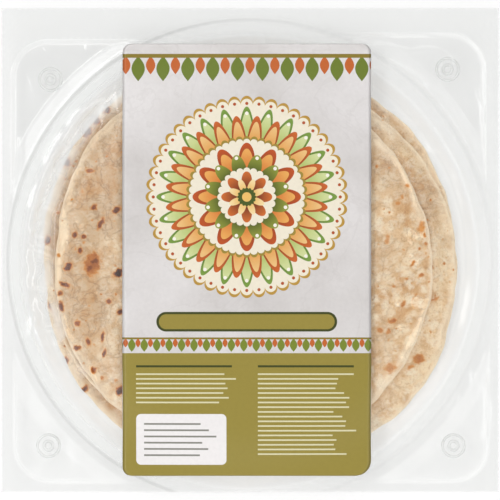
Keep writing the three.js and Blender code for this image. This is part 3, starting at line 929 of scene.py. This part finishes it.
def label_material():
    """Offset-printed coated paper: a pale stone-grey field with a rosette above, an olive field with plain
    rules below, in flat inks with a little mottle under a light gloss."""
    material, tree = new_material("printed_coated_paper")
    place = add(tree, "TexCoord", out="Object")
    page = add(tree, "VectorMath", [place, (1 / MM, 1 / MM, 0)], operation="MULTIPLY")
    along, up = (add(tree, "SeparateXYZ", [page], out=axis) for axis in ("X", "Y"))
    middle = (LABEL_LEFT + LABEL_RIGHT) / 2

    # Stone-like field, with cloud and vein sizes in millimetres
    cloud_size, vein_size = 55.0, 38.0
    cloud = add(tree, "TexNoise", {"Vector": page, "Scale": 1 / cloud_size, "Detail": 5.0}, out="Fac")
    vein = add(tree, "TexNoise", {"Vector": page, "Scale": 1 / vein_size, "Detail": 6.0,
                                  "Distortion": 1.2}, out="Fac")
    vein = add(tree, "Math", [vein, 0.5, 0.012], operation="COMPARE")
    vein = add(tree, "Math", [vein, 0.10], operation="MULTIPLY")
    clouded = add(tree, "MapRange", {"Value": cloud, "From Min": 0.35, "From Max": 0.7})
    colour = add(tree, "Mix", {0: clouded, 6: linear("#E8E4E3"), 7: linear("#D0CBC8")},
                 out=2, data_type="RGBA")
    colour = add(tree, "Mix", {0: vein, 6: colour, 7: linear("#B9B2AE")}, out=2, data_type="RGBA")

    # Rosette
    rosette_at = (middle, 27.0, 0)
    offset = add(tree, "VectorMath", [page, rosette_at], operation="SUBTRACT")
    radius = add(tree, "VectorMath", [offset], out="Value", operation="LENGTH")
    aside, above = (add(tree, "SeparateXYZ", [offset], out=axis) for axis in ("X", "Y"))
    angle = add(tree, "Math", [above, aside], operation="ARCTAN2")
    rings = (
        ("petals", (48, 48.0, 51.5, 0.5, 0), "#C9A24C", "#B98F35"),
        ("petals", (48, 46.8, 50.0, 0.5, 0), "#F4EBD6", "#F4EBD6"),
        ("dots", (48, 47.6, 0.8, 0.0), "#B4501F", "#B4501F"),
        ("petals", (24, 33.0, 46.0, 1.3, 0), "#3F651C", "#7FA043"),
        ("petals", (24, 33.0, 43.6, 2.2, 0), "#B9C774", "#DCE3A8"),
        ("petals", (24, 28.0, 41.5, 0.9, 1), "#8C3313", "#D0682A"),
        ("petals", (24, 28.0, 38.5, 1.6, 1), "#E39A45", "#F2C987"),
        ("dots", (24, 42.6, 0.9, 0.0), "#FBF6EA", "#FBF6EA"),
        ("petals", (48, 29.0, 31.0, 0.5, 0), "#A08A36", "#A08A36"),
        ("petals", (48, 28.0, 29.6, 0.5, 0), "#F4EBD6", "#F4EBD6"),
        ("petals", (12, 15.0, 27.6, 0.8, 0), "#7E2C12", "#C4551F"),
        ("petals", (12, 15.0, 24.6, 1.3, 0), "#D9772F", "#F0B25E"),
        ("petals", (12, 14.0, 22.0, 0.9, 1), "#55601A", "#98A03C"),
        ("dots", (12, 20.4, 0.9, 0.5), "#FBF6EA", "#FBF6EA"),
        ("petals", (24, 13.4, 15.0, 0.5, 0), "#F4EBD6", "#F4EBD6"),
        ("petals", (8, 5.0, 13.0, 0.7, 0), "#6B2510", "#D5702C"),
        ("petals", (8, 4.0, 9.6, 1.2, 1), "#F0C069", "#FBE3AE"),
        ("petals", (16, 4.0, 4.8, 0.5, 0), "#47591A", "#47591A"),
        ("dots", (1, 0.0, 2.4, 0.0), "#F0C069", "#F0C069"),
    )
    for kind, shape, inner, outer in rings:
        mask = (petal_ring if kind == "petals" else dot_ring)(tree, radius, angle, *shape)
        paint = linear(inner)
        if inner != outer:
            way_out = add(tree, "MapRange", {"Value": radius, "From Min": shape[1], "From Max": shape[2]})
            paint = add(tree, "Mix", {0: way_out, 6: paint, 7: linear(outer)}, out=2, data_type="RGBA")
        colour = add(tree, "Mix", {0: mask, 6: colour, 7: paint}, out=2, data_type="RGBA")

    # Olive field with rules, a pale panel, and a band of leaves over it
    olive_top = -52.5
    below = add(tree, "Math", [up, olive_top], operation="LESS_THAN")
    layers = (
        (below, "#9C8C3C"),
        (round_panel(tree, page, (middle, olive_top + 7.5), (200, 1.0), 0.4), "#8E7B2C"),
        (leaf_garland(tree, along, up, olive_top + 7.5, 6.8, 1.9, 6.335, 0.0), "#7C8A2B"),
        (leaf_garland(tree, along, up, olive_top + 7.5, 4.6, 1.3, 6.335, 3.17), "#C8662A"),
        (leaf_garland(tree, along, up, 99.0, 13.0, 3.4, 12.67, 0.0), "#6F7F28"),
        (leaf_garland(tree, along, up, 99.0, 9.5, 2.4, 12.67, 6.335), "#C8662A"),
        (round_panel(tree, page, (middle, 99.0), (200, 2.0), 0.9), "#8E7B2C"),
        (round_panel(tree, page, (middle, -36.5), (92, 10), 4.9), "#3F4512"),
        (round_panel(tree, page, (middle, -36.5), (89.4, 7.6), 3.7), "#9C8C3C"),
        (plain_rules(tree, along, up, -58.0, -58.0, 52.0, 2.4, 1, 1.1, 3), "#3F4512"),
        (plain_rules(tree, along, up, -58.0, -62.0, 52.0, 2.4, 7, 0.8, 5), "#E2DCB4"),
        (plain_rules(tree, along, up, 4.0, -58.0, 52.0, 2.4, 1, 1.1, 13), "#3F4512"),
        (plain_rules(tree, along, up, 4.0, -62.0, 52.0, 2.4, 18, 0.8, 25), "#E2DCB4"),
        (round_panel(tree, page, (-35.0, -96.5), (46, 26), 2.5), "#F5F1F0"),
        (plain_rules(tree, along, up, -54.0, -87.0, 38.0, 3.2, 6, 0.9, 41), "#8A8A80"),
    )
    for mask, paint in layers:
        colour = add(tree, "Mix", {0: mask, 6: colour, 7: linear(paint)}, out=2, data_type="RGBA")

    # Bare paper on the back
    outwards = add(tree, "TexCoord", out="Normal")
    upwards = add(tree, "SeparateXYZ", [outwards], out="Z")
    back = add(tree, "Math", [upwards, 0.0], operation="LESS_THAN")
    colour = add(tree, "Mix", {0: back, 6: colour, 7: linear("#ECEAE6")}, out=2, data_type="RGBA")

    ink_size = 2.0
    ink = add(tree, "TexNoise", {"Vector": page, "Scale": 1 / ink_size, "Detail": 3.0}, out="Fac")
    shade = add(tree, "MapRange", {"Value": ink, "To Min": 0.88, "To Max": 0.99})
    colour = add(tree, "VectorMath", {0: colour, "Scale": shade}, operation="SCALE")
    surface = add(tree, "BsdfPrincipled", {"Base Color": colour, "Roughness": 0.4, "Coat Weight": 0.12})
    add_output(tree, surface)
    return material


def floor_material():
    """White acrylic sheet of a light table: matt white, with a little light of its own from below."""
    material, tree = new_material("light_table_acrylic")
    place = add(tree, "TexCoord", out="Object")
    mottle = add(tree, "TexNoise", {"Vector": place, "Scale": 6.0, "Detail": 2.0}, out="Fac")
    colour = add(tree, "Mix", {0: mottle, 6: linear("#C0C0C0"), 7: linear("#C4C4C4")},
                 out=2, data_type="RGBA")
    upwards = add(tree, "SeparateXYZ", [place], out="Y")
    glow = add(tree, "MapRange", {"Value": upwards, "From Min": -0.12, "From Max": 0.12,
                                  "To Min": 0.48, "To Max": 0.445})
    surface = add(tree, "BsdfPrincipled", {
        "Base Color": colour, "Roughness": 0.9, "Specular IOR Level": 0.1, "Emission Strength": glow})
    add_output(tree, surface)
    return material


# Scene


def make_floor():
    """A flat pale floor just below the pack."""
    half = 2.0
    mesh = bpy.data.meshes.new("floor")
    corners = [(-half, -half, 0), (half, -half, 0), (half, half, 0), (-half, half, 0)]
    mesh.from_pydata(corners, [], [(0, 1, 2, 3)])
    mesh.materials.append(floor_material())
    floor = bpy.data.objects.new("floor", mesh)
    bpy.context.scene.collection.objects.link(floor)


def make_lights():
    """A light tent: pale all round and dimmer overhead, with soft boxes at the sides."""
    world = bpy.data.worlds.new("studio")
    bpy.context.scene.world = world
    world.use_nodes = True
    tree = world.node_tree
    tree.nodes.clear()
    way = add(tree, "TexCoord", out="Generated")
    upwards = add(tree, "SeparateXYZ", [way], out="Z")
    roof = add(tree, "MapRange", {"Value": upwards, "From Min": 0.7, "From Max": 0.95,
                                  "To Min": 0.72, "To Max": 0.3}, interpolation_type="SMOOTHSTEP")
    sky = add(tree, "Background", {"Color": (1, 1, 1, 1), "Strength": roof})
    out = tree.nodes.new("ShaderNodeOutputWorld")
    tree.links.new(sky, out.inputs["Surface"])
    boxes = (
        ("left_box", (-1.1, 0.1, 1.45), (3.6, 0.5), 15.0),
        ("right_box", (1.2, 0.1, 1.3), (1.6, 0.3), 4.1),
        ("near_box", (0.1, -1.3, 1.2), (2.4, 0.9), 6.0),
        ("far_box", (-0.1, 1.3, 1.3), (2.0, 0.6), 3.2),
    )
    for name, place, (wide, long), watts in boxes:
        lamp = bpy.data.lights.new(name, "AREA")
        lamp.shape, lamp.size, lamp.size_y, lamp.energy = "RECTANGLE", wide, long, watts
        box = bpy.data.objects.new(name, lamp)
        box.location = place
        box.rotation_euler = (-box.location).to_track_quat("-Z", "Y").to_euler()
        bpy.context.scene.collection.objects.link(box)


def make_camera():
    """A long lens straight above: the photograph's frame is 500 pixels at 0.51 mm each."""
    frame_width = 500 * 0.51 * MM
    distance = 2.4
    lens = bpy.data.cameras.new("camera")
    lens.sensor_width = 36.0
    lens.lens = lens.sensor_width * distance / frame_width
    camera = bpy.data.objects.new("camera", lens)
    camera.location = (0, 0, distance + FLANGE_TOP * MM)
    bpy.context.scene.collection.objects.link(camera)
    bpy.context.scene.camera = camera
    bpy.context.scene.view_settings.view_transform = "Standard"


film = clear_film_material("clear_packing_film", (0.966, 0.968, 0.964), 0.07)
bead = clear_film_material("clear_film_bead", (0.998, 0.998, 0.998), 0.0)
dough = bread_material()
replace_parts(film_piece(film), "sealed_pack")
moulded_buttons(bead)
for bread_level in range(1, len(BREADS) + 1):
    bread_piece(bread_level, dough)
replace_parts(label_piece(label_material()), "label")
make_floor()
make_lights()
make_camera()
